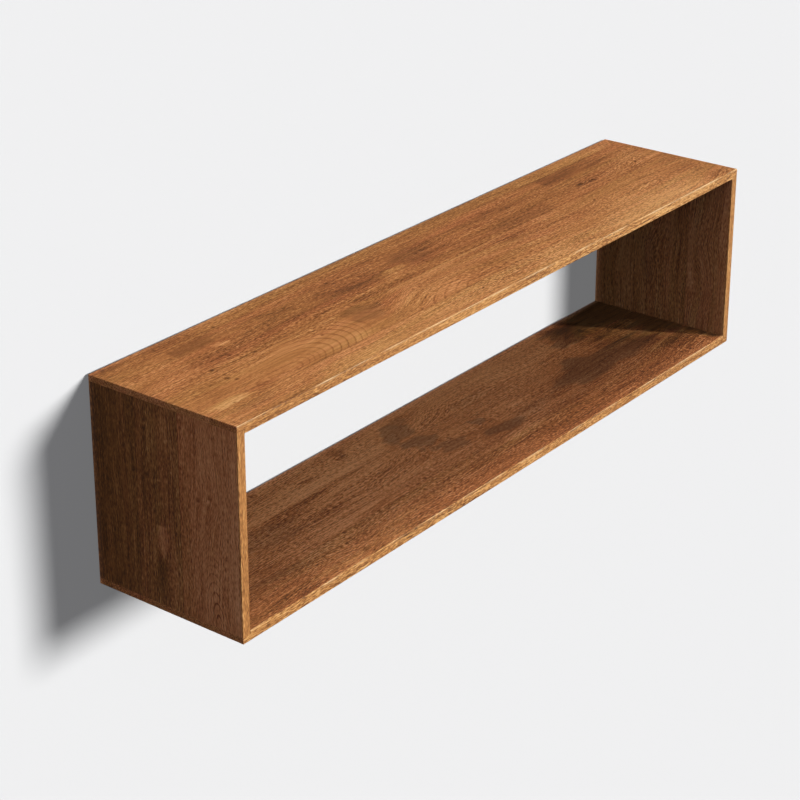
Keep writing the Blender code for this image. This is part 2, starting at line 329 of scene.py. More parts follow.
def drift(along, across, long, wide, seed):
    """Values from -1 to 1 at the corners of cells of long x wide mm, blended by 3t^2 - 2t^3."""
    table = np.random.default_rng(seed).uniform(-1, 1, (LATTICE, LATTICE))
    a, b = along / long, across / wide
    i, j = np.floor(a).astype(int), np.floor(b).astype(int)
    s, t = a - i, b - j
    s, t = s * s * (3 - 2 * s), t * t * (3 - 2 * t)
    i, j, after_i, after_j = i % LATTICE, j % LATTICE, (i + 1) % LATTICE, (j + 1) % LATTICE
    near_row = table[i, j] * (1 - s) + table[after_i, j] * s
    far_row = table[i, after_j] * (1 - s) + table[after_i, after_j] * s
    return near_row * (1 - t) + far_row * t


print("wander at three places:", np.round(drift(np.array([0, 40, 90.]), 5.0, 60, 20, 1), 2))

# %% [markdown]
# ## Figure: growth rings
# A tree lays its rings round the pith. A saw that cuts close to the pith, and slightly across it,
# leaves nested arches; one that cuts far from it leaves straight lines. So each stave is given the
# line of its pith: how far from the wall, and how deep below the show face, at a few places along
# it. The ring number anywhere is then the distance to that line over the width of a ring, and the
# same sum draws the arches on the face and the arcs on the end grain.

# %% Pith lines: along, distance from the wall, depth below the face, all in mm
PITH = {
    "top_stave_rear": [(0, 70, 60), (600, 64, 84), (1200, 90, 66)],
    "top_stave_mid_rear": [(0, 52, 70), (300, 66, 96), (700, 40, 74), (1200, 84, 90)],
    "top_stave_mid_front": [
        (0, 188, 46), (60, 190, 26), (111, 191, 10), (140, 192, 3), (170, 192, 3), (233, 180, 31),
        (277, 174, 51), (305, 169, 62), (329, 163, 77), (350, 172, 86), (385, 196, 90),
        (450, 214, 78), (560, 222, 45), (650, 226, 25), (720, 226, 34), (900, 216, 58),
        (1040, 206, 40), (1200, 200, 72),
    ],
    "top_stave_front": [(0, 262, 70), (500, 244, 52), (900, 262, 76), (1200, 240, 60)],
    "bottom_stave_rear": [
        (0, 20, 40), (300, 24, 52), (520, 60, 40), (640, 66, 22), (820, 84, 30), (1000, 60, 56),
        (1200, 40, 30),
    ],
    "bottom_stave_middle": [
        (0, 150, 66), (400, 120, 48), (700, 140, 58), (860, 142, 30), (980, 140, 4),
        (1100, 138, 24), (1200, 140, 44),
    ],
    "bottom_stave_front": [(0, 214, 30), (260, 232, 44), (700, 216, 66), (1200, 236, 40)],
    "left_stave_rear": [(0, 40, 60), (300, 26, 84)],
    "left_stave_middle": [(0, 118, 40), (160, 124, 54), (300, 112, 62)],
    "left_stave_front": [(0, 204, 66), (170, 196, 40), (240, 206, 16), (300, 214, 3)],
    "right_stave_rear": [(0, 30, 56), (300, 40, 70)],
    "right_stave_middle": [(0, 120, 44), (180, 130, 60), (300, 116, 50)],
    "right_stave_front": [(0, 206, 48), (300, 216, 62)],
}
print("staves with a pith line:", len(PITH))

# %% The number of the ring at a place
RING_WIDTH = {"top_stave_mid_front": 6.2}  # mm
USUAL_RING = 4.3
ROUNDING = ((-24, 1), (-12, 2), (0, 3), (12, 2), (24, 1))  # mm along, weight
OUT_OF_ROUND = 1.4  # mm that a ring strays from its circle, over 90 x 26 mm
LEAN_YEARS = 3.0  # mm that runs of narrow and wide rings shift it, over 17 mm


def soft_path(along, stops):
    """A broken line through its stops, rounded by a weighted mean of five places near by."""
    places, values = np.array(stops, float).T
    total = sum(weight for _, weight in ROUNDING)
    return sum(weight / total * np.interp(along + step, places, values)
               for step, weight in ROUNDING)


def ring_number(node, at, seed):
    """Distance to the pith, sqrt(side^2 + depth^2), with a slow wander, over the ring width."""
    along, across, deep = at
    side = across - soft_path(along, [(place, from_wall) for place, from_wall, _ in PITH[node]])
    depth = deep + soft_path(along, [(place, below) for place, _, below in PITH[node]])
    radius = np.hypot(side, depth) + OUT_OF_ROUND * drift(along, across, 90, 26, seed)
    radius += LEAN_YEARS * drift(radius, 0 * radius, 17, 1, seed + 2)
    return radius / RING_WIDTH.get(node, USUAL_RING)


ring = ring_number("top_stave_mid_front", np.array([[155.0], [192.0], [0.0]]), 3)
print("ring number over the middle of the arches:", round(float(ring[0]), 2))

# %% [markdown]
# ## Figure: stains, streaks and knots
# Mango is coloured by fungus and minerals as it dries, in grey-brown clouds and dark threads that
# stop at the glue lines. These are laid as a stain is: a place, a half length along the grain, a
# half width across it, and a strength. Knots are small and dark, and the fibres swerve round them,
# as they do where a branch lies buried near by.
# Some spots at the lower board's right end are painted shadow in the right board's shadow.

# %% Tone: along, across, half length, half width, lighter (+) or darker (-)
# A sixth number, -1 or 1, gives the spot a straight cut at its left or right end.
TONE = {
    "top_stave_rear": [
        (20, 10, 24, 8, -0.10), (300, 14, 260, 5, -0.04), (1060, 14, 170, 16, 0.10),
        (560, 8, 120, 4, 0.05), (130, 14, 36, 10, -0.09), (260, 12, 60, 8, 0.05),
        (690, 10, 60, 10, -0.07), (772, 10, 50, 8, -0.06), (976, 12, 34, 12, -0.07),
    ],
    "top_stave_mid_rear": [
        (40, 84, 70, 44, 0.06), (148, 42, 42, 16, -0.08, -1), (190, 84, 84, 26, -0.07),
        (300, 60, 110, 26, -0.05), (440, 76, 66, 24, -0.12), (250, 92, 130, 5, -0.04),
        (586, 72, 56, 30, -0.11), (500, 116, 80, 5, -0.10), (172, 67, 12, 6, 0.30),
        (514, 88, 27, 8, 0.15), (740, 80, 140, 40, -0.05), (790, 108, 86, 17, -0.10, 1),
        (1030, 44, 86, 17, -0.13, -1), (992, 95, 16, 4, -0.14), (1130, 92, 60, 26, 0.07),
        (1120, 118, 40, 3, -0.12), (430, 38, 90, 9, -0.09), (224, 62, 26, 8, 0.06),
        (796, 62, 60, 9, -0.08), (48, 88, 52, 9, -0.07), (360, 87, 150, 9, -0.08),
        (926, 88, 28, 9, -0.09), (460, 108, 50, 7, 0.09), (800, 54, 90, 14, -0.07),
        (1012, 88, 56, 10, -0.08), (124, 92, 30, 22, -0.07), (624, 62, 32, 12, -0.06),
        (676, 112, 32, 9, -0.08), (780, 112, 44, 8, 0.09), (1174, 112, 26, 9, 0.08),
    ],
    "top_stave_mid_front": [
        (44, 197, 36, 9, 0.20), (106, 196, 28, 7, -0.13), (372, 151, 34, 24, -0.11, -1),
        (180, 150, 90, 12, 0.06), (200, 197, 40, 7, -0.05), (320, 196, 26, 10, 0.10),
        (757, 142, 66, 14, -0.09), (660, 170, 70, 18, -0.05), (1120, 160, 50, 6, -0.10),
        (1030, 196, 110, 14, 0.09), (500, 180, 70, 24, 0.04), (1160, 180, 40, 20, -0.05),
        (560, 131, 120, 5, 0.05), (268, 188, 40, 14, 0.08), (56, 172, 16, 6, -0.10),
        (150, 137, 44, 8, -0.07), (690, 137, 70, 8, -0.09), (876, 162, 36, 13, -0.08),
        (574, 188, 50, 11, -0.07), (1074, 189, 30, 10, -0.06), (424, 150, 30, 22, -0.09),
        (1090, 162, 44, 10, 0.06), (950, 188, 50, 10, 0.06), (1176, 138, 30, 12, -0.09),
    ],
    "top_stave_front": [
        (985, 226, 140, 34, 0.12), (700, 240, 160, 10, 0.05), (100, 232, 110, 24, -0.07),
        (460, 224, 110, 14, 0.05), (1170, 226, 36, 24, -0.10), (130, 250, 160, 4, -0.13),
        (236, 238, 66, 10, 0.09), (976, 238, 44, 10, 0.06), (1150, 234, 46, 14, -0.09),
        (1176, 239, 24, 10, -0.08), (1040, 238, 30, 12, 0.05),
    ],
    "bottom_stave_rear": [
        (365, 43, 12, 2.8, -0.50), (463, 22, 10, 17, -0.18), (340, 62, 150, 9, 0.14),
        (400, 50, 140, 30, 0.06), (300, 26, 60, 10, -0.05), (470, 68, 60, 5, 0.10),
        (760, 20, 150, 14, 0.05), (700, 60, 80, 12, -0.05), (860, 44, 80, 10, 0.04),
        # (1156, 36, ...) is painted shadow, darker in the shadow of the right board.
        (150, 40, 110, 30, -0.03), (1156, 36, 70, 60, -0.16), (1036, 34, 46, 40, -0.20),
        (952, 72, 36, 6, -0.14), (994, 44, 14, 9, -0.12), (1046, 46, 30, 38, -0.16),
        (520, 40, 56, 14, 0.07), (1062, 68, 20, 12, -0.20),
    ],
    "bottom_stave_middle": [
        (284, 84, 66, 6, -0.30), (420, 82, 200, 5, -0.03), (290, 127, 74, 5, -0.18),
        (420, 92, 120, 10, 0.07), (244, 98, 56, 9, -0.13), (420, 100, 120, 10, 0.07),
        (440, 146, 150, 12, 0.07), (700, 96, 120, 12, 0.03), (760, 130, 70, 14, 0.06),
        (300, 165, 90, 9, 0.12), (138, 162, 30, 10, -0.10), (860, 90, 100, 8, 0.04),
        (340, 99, 80, 3.4, 0.08), (390, 105, 60, 3.2, -0.11), (310, 111, 70, 3.4, 0.06),
        (460, 94, 60, 3.2, 0.08), (260, 119, 50, 3.4, -0.08), (372, 125, 70, 3.2, -0.09),
        # (1182, 126, ...) is painted shadow, darker in the shadow of the right board.
        (314, 132, 60, 3.4, 0.07), (280, 139, 60, 3.2, -0.07), (1182, 126, 50, 60, -0.16),
        (1072, 104, 42, 28, -0.24), (1104, 166, 40, 18, -0.24), (1036, 90, 34, 12, -0.18),
        (940, 90, 44, 12, -0.11), (836, 160, 34, 12, -0.11), (790, 144, 46, 14, -0.08),
        (985, 142, 140, 36, -0.14), (940, 108, 90, 3, -0.10), (678, 164, 44, 15, -0.06),
        (470, 84, 60, 3, 0.16),
    ],
    "bottom_stave_front": [
        (216, 190, 40, 12, -0.02), (130, 186, 50, 14, -0.04), (300, 190, 250, 9, 0.10),
        (666, 190, 70, 10, 0.17), (1096, 212, 60, 22, -0.08), (938, 225, 34, 22, -0.08),
        # (600, 242, ...) is painted shade on the front strip that the overhead lamp lights.
        (790, 238, 44, 10, -0.11), (300, 222, 80, 22, 0.08), (600, 242, 560, 22, -0.08),
        (980, 218, 210, 24, -0.06), (660, 214, 120, 16, -0.03), (90, 226, 70, 16, 0.03),
        # (1188, 205, ...) is painted shadow, darker in the shadow of the right board.
        (1188, 205, 16, 34, -0.16), (1126, 196, 38, 18, -0.16), (850, 187, 70, 8, -0.07),
        (206, 238, 44, 10, 0.13), (238, 238, 28, 12, 0.12), (96, 238, 44, 10, -0.13),
        (272, 188, 30, 8, 0.08), (476, 238, 30, 10, -0.07),
    ],
    "left_stave_rear": [
        (150, 12, 160, 15, -0.04), (80, 56, 60, 6, -0.05), (250, 60, 60, 16, -0.06),
        (230, 66, 60, 4, 0.05), (120, 30, 70, 6, 0.05),
    ],
    "left_stave_middle": [
        (199, 118, 22, 8, 0.34, -1), (114, 112, 2, 6, 0.20), (256, 112, 36, 9, -0.10),
        (40, 127, 34, 5, 0.16), (120, 92, 60, 8, -0.08), (252, 141, 44, 9, 0.09),
        (150, 138, 60, 5, -0.07),
    ],
    "left_stave_front": [
        (44, 162, 28, 5, 0.03), (46, 176, 30, 7, -0.13), (150, 206, 120, 34, 0.03),
        (276, 196, 16, 40, -0.04), (100, 240, 90, 7, 0.05), (228, 238, 60, 12, 0.09),
    ],
    "right_stave_rear": [(150, 30, 120, 14, -0.06)],
    "right_stave_middle": [
        (170, 120, 90, 14, -0.05), (130, 164, 150, 14, -0.08), (150, 88, 150, 10, 0.04),
    ],
    "right_stave_front": [(150, 214, 150, 24, -0.05), (120, 184, 110, 4, 0.06)],
}
print("tone spots:", sum(map(len, TONE.values())))

# %% Grey-brown clouds and painted shadow: along, across, half length, half width, strength
STAIN_AND_SHADOW = {
    "top_stave_mid_rear": [
        (1010, 42, 66, 14, 0.16), (800, 108, 60, 14, 0.14), (584, 66, 40, 26, 0.30),
        (146, 42, 36, 16, 0.22),
    ],
    "top_stave_mid_front": [(372, 149, 34, 24, 0.34)],
    "top_stave_front": [(60, 222, 50, 10, 0.2)],
    "bottom_stave_rear": [
        (562, 50, 30, 25, 0.75), (590, 30, 20, 11, 0.5), (540, 66, 16, 10, 0.5),
        # (1156, 40, ...) greys painted shadow in the shadow of the right board.
        (1034, 44, 44, 34, 0.85), (1156, 40, 76, 60, 0.78), (728, 66, 50, 10, 0.25),
    ],
    "bottom_stave_middle": [
        (566, 96, 28, 20, 0.75), (590, 138, 28, 15, 0.65), (566, 126, 12, 9, 0.5),
        (676, 121, 14, 10, 0.75), (690, 163, 40, 15, 0.80), (976, 142, 118, 34, 0.95),
        # (1182, 126, ...) greys painted shadow in the shadow of the right board.
        (1182, 126, 54, 60, 0.78), (1070, 150, 60, 26, 0.50), (880, 150, 40, 18, 0.35),
        (210, 112, 60, 22, 0.35), (760, 160, 60, 14, 0.25),
    ],
    "bottom_stave_front": [
        # (1192, 205, ...) greys painted shadow in the shadow of the right board.
        (216, 188, 34, 11, 0.15), (130, 186, 48, 14, 0.35), (1192, 205, 22, 40, 0.78),
    ],
    "left_stave_rear": [(60, 16, 50, 12, 0.3)],
    "right_stave_middle": [(190, 100, 50, 12, 0.3)],
}
print("clouds:", sum(map(len, STAIN_AND_SHADOW.values())))

# %% Golden (+), red (-), painted shadow's hue: along, across, half length, half width, amount
GOLD_AND_SHADOW_HUE = {
    "top_stave_rear": [(240, 12, 120, 20, 0.5), (820, 12, 420, 18, 0.5)],
    "top_stave_mid_rear": [(80, 60, 120, 40, 0.2), (514, 88, 34, 12, 0.4), (424, 78, 76, 26, -0.2)],
    "top_stave_mid_front": [
        (260, 186, 70, 18, 0.1), (42, 200, 40, 12, 0.4), (372, 148, 40, 26, 0.2),
        (800, 160, 80, 16, -0.4),
    ],
    "bottom_stave_rear": [
        # (1160, 40, ...) sets the hue of painted shadow in the shadow of the right board.
        (700, 30, 160, 20, -0.3), (1160, 40, 80, 60, 1.9), (1044, 44, 50, 36, 0.7),
        (1080, 64, 36, 16, 1.0),
    ],
    "bottom_stave_middle": [
        # (1180, 126, ...) sets the hue of painted shadow in the shadow of the right board.
        (1180, 126, 60, 60, 1.9), (1088, 106, 56, 30, 0.9), (980, 142, 130, 34, 0.1),
        (680, 162, 44, 16, 0.1),
    ],
    "bottom_stave_front": [
        # (1190, 205, ...) sets the hue of painted shadow in the shadow of the right board.
        (340, 222, 60, 20, 0.2), (1190, 205, 24, 40, 1.5), (1130, 188, 50, 14, 0.5),
    ],
    "left_stave_middle": [(199, 118, 26, 10, -1.0), (120, 128, 140, 8, -0.3)],
}
print("golden and red places:", sum(map(len, GOLD_AND_SHADOW_HUE.values())))

# %% Where rings show plainly: along, across, half length, half width, strength
PLAIN_RINGS = {
    "top_stave_mid_front": [
        (284, 172, 64, 44, 0.95), (190, 178, 90, 34, 0.7), (120, 140, 150, 16, 0.6),
        (440, 180, 90, 34, 0.8), (640, 200, 40, 14, 0.6), (1100, 160, 70, 12, 0.6),
    ],
    "bottom_stave_rear": [(640, 40, 90, 34, 0.5), (1040, 54, 60, 26, 0.7)],
    "bottom_stave_middle": [
        (900, 140, 160, 34, 0.4), (320, 112, 220, 44, 0.7), (560, 150, 120, 30, 0.3),
    ],
    "bottom_stave_front": [(260, 214, 200, 30, 0.6), (820, 200, 160, 20, 0.5)],
    "left_stave_front": [(244, 206, 64, 36, 1.6)],
}
print("plain rings on", len(PLAIN_RINGS), "staves")

# %% Where the pores are open (+) or closed (-): along, across, half length, half width, amount
OPEN_PORES = {
    "top_stave_mid_rear": [
        (148, 42, 44, 18, -0.6), (1010, 46, 70, 18, -0.4), (584, 66, 50, 30, -0.3),
        (1120, 90, 70, 30, 0.4),
    ],
    "top_stave_mid_front": [
        (230, 172, 110, 44, -0.75), (366, 146, 40, 26, -0.2), (370, 150, 44, 30, -0.5),
        (1040, 190, 160, 20, 0.4), (50, 190, 60, 26, -0.4), (800, 160, 200, 30, 0.2),
        (460, 186, 100, 22, -0.25),
    ],
    "top_stave_front": [(900, 228, 330, 30, 0.6), (560, 228, 120, 20, 0.2)],
    "bottom_stave_rear": [
        # (1156, 40, ...) closes the pores, so painted shadow there stays even.
        (560, 50, 40, 34, -0.5), (1036, 50, 46, 34, -0.6), (1156, 40, 76, 60, -1.0),
        (380, 44, 150, 40, 0.4),
    ],
    "bottom_stave_middle": [
        (960, 140, 150, 36, -0.5), (590, 138, 40, 18, -0.5), (690, 160, 44, 18, -0.5),
        # (1182, 126, ...) closes the pores, so painted shadow there stays even.
        (570, 94, 30, 20, -0.4), (1182, 126, 54, 60, -1.0), (300, 120, 200, 50, 0.4),
    ],
    # (1192, 205, ...) closes the pores, so painted shadow there stays even.
    "bottom_stave_front": [(320, 214, 280, 40, 0.4), (1192, 205, 22, 40, -1.0)],
    "left_stave_rear": [(150, 40, 160, 44, -0.4)],
    "right_stave_rear": [(150, 40, 160, 44, -0.3)],
}
print("open or closed pores on", len(OPEN_PORES), "staves")

# %% Knots: along, across, radius
KNOTS = {
    "top_stave_mid_rear": [(104, 116, 2.0), (982, 92, 2.6), (1016, 97, 3.0)],
    "top_stave_mid_front": [
        (100, 147, 1.9), (104, 158, 1.8), (276, 154, 1.7), (50, 202, 2.0), (443, 127, 1.6),
        (936, 150, 1.8),
    ],
    "top_stave_front": [(148, 209, 1.8), (277, 224, 2.0), (690, 236, 1.6)],
    "bottom_stave_rear": [(461, 34, 5.0), (284, 14, 3.6), (612, 20, 2.2)],
    "bottom_stave_middle": [(300, 104, 1.8)],
    "left_stave_rear": [(111, 73, 1.6)],
    "left_stave_front": [(121, 182, 1.8), (188, 226, 1.5)],
}
print("knots:", sum(map(len, KNOTS.values())))

# %% Sweeps: along and across of the crest, length before it, length after it, half width, height
SWEEPS = {
    "top_stave_mid_rear": [
        (330, 90, 140, 160, 22, 7), (690, 70, 60, 170, 30, 8), (1170, 95, 80, 60, 30, 10),
    ],
    "top_stave_mid_front": [(482, 165, 52, 200, 40, 28), (1010, 150, 90, 120, 30, 8)],
    "top_stave_front": [(560, 224, 90, 140, 26, 9), (1210, 224, 90, 60, 30, 22)],
    "bottom_stave_rear": [(712, 40, 70, 200, 36, 26), (1050, 50, 46, 60, 26, 18)],
    "bottom_stave_middle": [(560, 108, 80, 160, 36, 20), (1000, 132, 80, 110, 30, 13)],
    "bottom_stave_front": [
        (264, 216, 60, 70, 26, -14), (700, 196, 140, 160, 24, 7), (1140, 196, 70, 60, 30, 18),
    ],
    "left_stave_front": [(250, 205, 70, 60, 24, 12), (110, 206, 36, 40, 22, -7)],
    "right_stave_rear": [(214, 40, 50, 60, 26, 9)],
    "right_stave_middle": [(172, 100, 34, 40, 20, 11), (106, 128, 32, 34, 22, -9)],
    "right_stave_front": [(120, 208, 44, 50, 26, 10), (214, 206, 40, 44, 24, -9)],
}
print("sweeps:", sum(map(len, SWEEPS.values())))

# %% [markdown]
# ## Laying a spot and bending the fibres
# A stain creeps along the fibres, so its ends are ragged and its sides are soft. Fibres part round
# a knot and close again behind it, and they rise and fall where they pass a buried branch. Both
# are small sums on along and across, so the same functions serve every stave.

# %% Soft spots
RAGGED = 0.5  # share of a spot's half length by which its fibres' ends stray
RIM_WANDER = 0.4  # share of its half width by which its rim does, in waves of such a length
SHORT_RIM = 6  # mm; the rim's waves are no shorter than this
CUT_BLUR = 4  # mm over which a straight cut fades
# Each kind's table, its first random draw, and how many mm of fibres end together
KINDS = {
    "tone": (TONE, 0, 4), "gold": (GOLD_AND_SHADOW_HUE, 30, 12), "stain_and_shadow": (STAIN_AND_SHADOW, 50, 9),
    "rings": (PLAIN_RINGS, 80, 20), "pores": (OPEN_PORES, 90, 20),
}


def soft_spot(at, spot, seed, bundle, rim_width=0.9):
    """1 inside an oval with a wandering rim and 0 outside: a smooth step on the oval's radius.

    Each bundle of fibres, bundle mm wide, ends at its own place, so streaks have ragged ends.
    """
    along, across, _ = at
    at_along, at_across, half_length, half_width = spot[:4]
    cut = spot[5] if len(spot) > 5 else 0
    ragged = RAGGED * half_length * drift(along, across, 3 * half_length, bundle, seed)
    wave = max(RIM_WANDER * half_length, SHORT_RIM)
    rim = RIM_WANDER * half_width * drift(along, across, wave, half_width, seed + 1)
    beside = along - at_along
    past_cut = beside * cut - half_length
    beside = np.where(beside * cut > 0, 0, beside + ragged)
    reach = np.hypot(beside / half_length, (across - at_across + rim) / half_width)
    fade = np.clip((1 + rim_width / 2 - reach) / rim_width, 0, 1)
    if cut:
        fade *= np.clip(0.5 - past_cut / CUT_BLUR, 0, 1)
    return fade * fade * (3 - 2 * fade)


def spots_on(kind, node, at, seed, rim_width=0.9):
    """The amount of each spot of a kind on a stave, and its soft shape at every place."""
    table, first_draw, bundle = KINDS[kind]
    for i, spot in enumerate(table.get(node, [])):
        yield spot[4], soft_spot(at, spot, 100 * seed + first_draw + i, bundle, rim_width)


def lay_spots(values, kind, node, at, seed, streaks=1.0):
    """Add every spot of a kind: its amount times its shape times the streaks in it."""
    for amount, shape in spots_on(kind, node, at, seed):
        values = values + amount * shape * streaks
    return values


sample = np.array([[50.0], [20.0], [0.0]])
middle = soft_spot(sample, (50, 20, 30, 10), 1, 9)
print("a spot's strength at its middle:", round(float(middle[0]), 2))

# %% Bent fibres
WANDER = ((6.0, 260, 60), (2.2, 80, 24), (0.8, 30, 12))  # mm of bend, over cells of mm x mm
KNOT_LONG, KNOT_WIDE = 4, 2.2  # how far a knot bends the fibres, in its radii
KNOT_PUSH = 1.6  # and by how much


def bend_round_knots(along, across, knots):
    """Shift of the fibres away from each knot: its radius times a bell along and across it."""
    shift = np.zeros_like(along)
    for at_along, at_across, radius in knots:
        side = (across - at_across) / (KNOT_WIDE * radius)
        bell = np.exp(-((along - at_along) / (KNOT_LONG * radius)) ** 2 - side ** 2)
        shift -= KNOT_PUSH * radius * bell * np.tanh(3 * side)
    return shift


def sweep_fibres(along, across, sweeps):
    """Shift where the fibres sweep past a buried crotch: a bell, steeper before its crest."""
    shift = np.zeros_like(along)
    for crest, middle, before, after, half_width, height in sweeps:
        beside = along - crest
        run = beside / np.where(beside < 0, before, after)
        shift += height * np.exp(-run ** 2 - ((across - middle) / half_width) ** 2)
    return shift


def bent_across(node, at, seed):
    """Across, shifted by the knots, the sweeps and three scales of wander."""
    along, across, _ = at
    bent = across + bend_round_knots(along, across, KNOTS.get(node, []))
    bent += sweep_fibres(along, across, SWEEPS.get(node, []))
    for i, (bend, long, wide) in enumerate(WANDER):
        bent += bend * drift(along, across, long, wide, seed + i)
    return bent


bent = bent_across("top_stave_mid_front", np.array([[482.0], [165.0], [0.0]]), 3)
print("a fibre 165 mm from the wall is drawn at", round(float(bent[0]), 1), "mm")

# %% [markdown]
# ## Skins for the staves
# A stave is a long prism whose ends may be stepped for the corner joint, with its outer arrises
# eased by sanding. A grid of lines is laid through its box, the cells outside the step are left
# empty, and the quads between a full cell and an empty one make a closed skin. The cells near an
# outer arris are then drawn in to a quarter circle. The lines lie 2 to 2.5 mm apart, so that the
# figure can be stored point by point.

# %% Grid lines
ALONG_STEP, ACROSS_STEP, DEEP_STEP = 2.5 * MM, 2.0 * MM, 4.0 * MM
ARRIS = 0.8 * MM
ARC_LINE = math.tan(math.radians(22.5))  # puts a line a quarter of the way round the arc
# Rim of the worn front arris, which also carries a painted highlight.
WORN_HIGHLIT_RIM = 0.05 * MM
CROWDED = 0.3  # share of a step; an even line that is nearer to another is left out


def grid_lines(low, high, step, eased, extra=()):
    """Even lines from low to high, with three more where a side is eased and one at each extra."""
    even = np.linspace(low, high, max(2, round((high - low) / step)) + 1)
    lines = [low, high, *extra]
    into = np.array([ARRIS * (1 - ARC_LINE), ARRIS, ARRIS + WORN_HIGHLIT_RIM])
    if eased[0]:
        lines += list(low + into)
    if eased[1]:
        lines += list(high - into)
    apart = np.abs(even[:, None] - np.array(lines)).min(axis=1) > CROWDED * step
    return np.unique(np.concatenate([even[apart], lines]))


lines = grid_lines(0.0, 10 * MM, ACROSS_STEP, (True, False))
print("lines of a 10 mm side, in mm:", np.round(lines / MM, 2).tolist())

# %% Closed skin round the full cells
def cell_skin(lines, full):
    """Points and quads of the faces that part a full cell from an empty one, facing out."""
    counts = [len(line) for line in lines]
    padded = np.pad(full, 1)
    number = np.arange(np.prod(counts)).reshape(counts)
    quads = []
    for axis in range(3):
        for side in (0, 1):
            beyond = np.roll(padded, 1 - 2 * side, axis)[1:-1, 1:-1, 1:-1]
            cell = np.array(np.nonzero(full & ~beyond))
            cell[axis] += side
            one, two = np.eye(3, dtype=int)[[(axis + 1) % 3, (axis + 2) % 3]]
            steps = [0 * one, one, one + two, two]
            corners = [number[tuple(cell + step[:, None])] for step in steps]
            quads.append(np.stack(corners if side else corners[::-1], axis=1))
    quads = np.concatenate(quads)
    used, quads = np.unique(quads, return_inverse=True)
    grid = np.stack(np.meshgrid(*lines, indexing="ij"), axis=-1).reshape(-1, 3)
    return grid[used], quads.reshape(-1, 4)


points, quads = cell_skin([np.arange(3.0)] * 3, np.ones((2, 2, 2), bool))
print("a block of 8 cells:", len(points), "points,", len(quads), "quads")

# %% Eased arrises
def ease(points, low, high, eased):
    """Draw the square zone along each eased arris in to a quarter circle.

    A point's offset from the inner box is scaled by its largest part over its length.
    """
    core = np.clip(points, low + ARRIS * eased[0], high - ARRIS * eased[1])
    offset = points - core
    length = np.linalg.norm(offset, axis=1)
    largest = np.abs(offset).max(axis=1)
    scale = np.divide(largest, length, out=np.ones_like(length), where=length > 1e-9)
    return core + offset * scale[:, None]


corner = ease(np.zeros((1, 3)), np.zeros(3), np.full(3, 10 * MM), np.ones((2, 3)))
print("a block's corner is drawn in to, in mm:", np.round(corner[0] / MM, 2).tolist())

# %% [markdown]
# ## From CAD stave to skin
# The CAD leaves 0.3 mm wherever two pieces are glued. The real glue line is a hair, so each skin
# grows by most of that gap on its glued sides, and stays where the CAD stave is on all others.

# %% The box and steps of one stave's skin
CAD_GAP = 0.3 * MM
GLUE_SEAM = 0.05 * MM
CORNER_SEAM = 0.14 * MM
LIP = 9 * MM
SIDE_BOARD = 14 * MM
NEAR = 0.1 * MM  # closer than this counts as touching


def stave_skin(node):
    """Points and quads of one stave: its CAD box, grown at the glue and stepped at the corners."""
    board = board_of(node)
    long_board = board in LONG_BOARDS
    low, high = (np.array(corner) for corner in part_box(node))
    at_front = low[1] < NEAR - BOARD_DEPTH * MM
    at_rear = high[1] > -NEAR
    low[1] -= 0 if at_front else (CAD_GAP - GLUE_SEAM) / 2
    high[1] += 0 if at_rear else (CAD_GAP - GLUE_SEAM) / 2
    steps = [ALONG_STEP, ACROSS_STEP, DEEP_STEP]
    extra = [(), (), ()]
    if long_board:
        shoulder = high[0] - SIDE_BOARD - CORNER_SEAM
        lip = high[2] - LIP if board == "top" else low[2] + LIP
        extra = [(-shoulder, shoulder), (), (lip,)]
    else:
        low[2] -= CAD_GAP - CORNER_SEAM
        high[2] += CAD_GAP - CORNER_SEAM
        steps.reverse()
    eased = np.array([[True, at_front, long_board], [True, at_rear, long_board]])
    lines = [grid_lines(low[i], high[i], steps[i], eased[:, i], extra[i]) for i in range(3)]
    full = np.ones([len(line) - 1 for line in lines], bool)
    if long_board:
        middle = [(line[1:] + line[:-1]) / 2 for line in lines]
        past = np.abs(middle[0]) > shoulder
        inner = middle[2] < lip if board == "top" else middle[2] > lip
        full &= ~(past[:, None, None] & inner[None, None, :])
    points, quads = cell_skin(lines, full)
    return ease(points, low, high, eased), quads


points, quads = stave_skin("top_stave_front")
print("top_stave_front:", len(points), "points,", len(quads), "quads")

# %% [markdown]
# ## Beds for the keyhole plates
# The rear stave of each side board has a shallow bed for its plate and a deeper pocket behind the
# keyhole. A Boolean cuts them from plain slot-shaped blocks before the figure is stored, so the
# walls of the pocket get their figure too.

# %% Slot-shaped cutters
ARC_SIDES = 24


def slot_block(centre, width, run, rear, front):
    """Upright slot, two half circles of the width whose centres lie run above and below."""
    turn = np.linspace(0, math.pi, ARC_SIDES + 1)
    x = np.concatenate([np.cos(turn), -np.cos(turn)]) * width / 2 + centre[0]
    z = np.concatenate([np.sin(turn), -np.sin(turn)]) * width / 2 + centre[1]
    z += np.repeat([run, -run], ARC_SIDES + 1)
    count = len(x)
    points = np.concatenate([np.stack([x, np.full(count, y), z], axis=1) for y in (rear, front)])
    i = np.arange(count)
    after = (i + 1) % count
    walls = np.stack([i, after, after + count, i + count], axis=1).tolist()
    faces = [*walls, i[::-1].tolist(), (i + count).tolist()]
    mesh = bpy.data.meshes.new("slot_block")
    mesh.from_pydata(points.tolist(), [], faces)
    block = bpy.data.objects.new("slot_block", mesh)
    bpy.context.scene.collection.objects.link(block)
    return block


print("slot cutters have", 2 * (ARC_SIDES + 1), "sides")

# %% A plate's bed and pocket
BED_ROOM = 0.2 * MM  # that the bed is wider than the plate all round
BED_BELOW = 0.3 * MM  # that its floor lies below the plate
POCKET_WIDTH, POCKET_RUN, POCKET_FLOOR = 9.4 * MM, 6 * MM, -10 * MM
CUT_FROM = 1 * MM  # behind the rear edge, so that the cut has no skin left over it


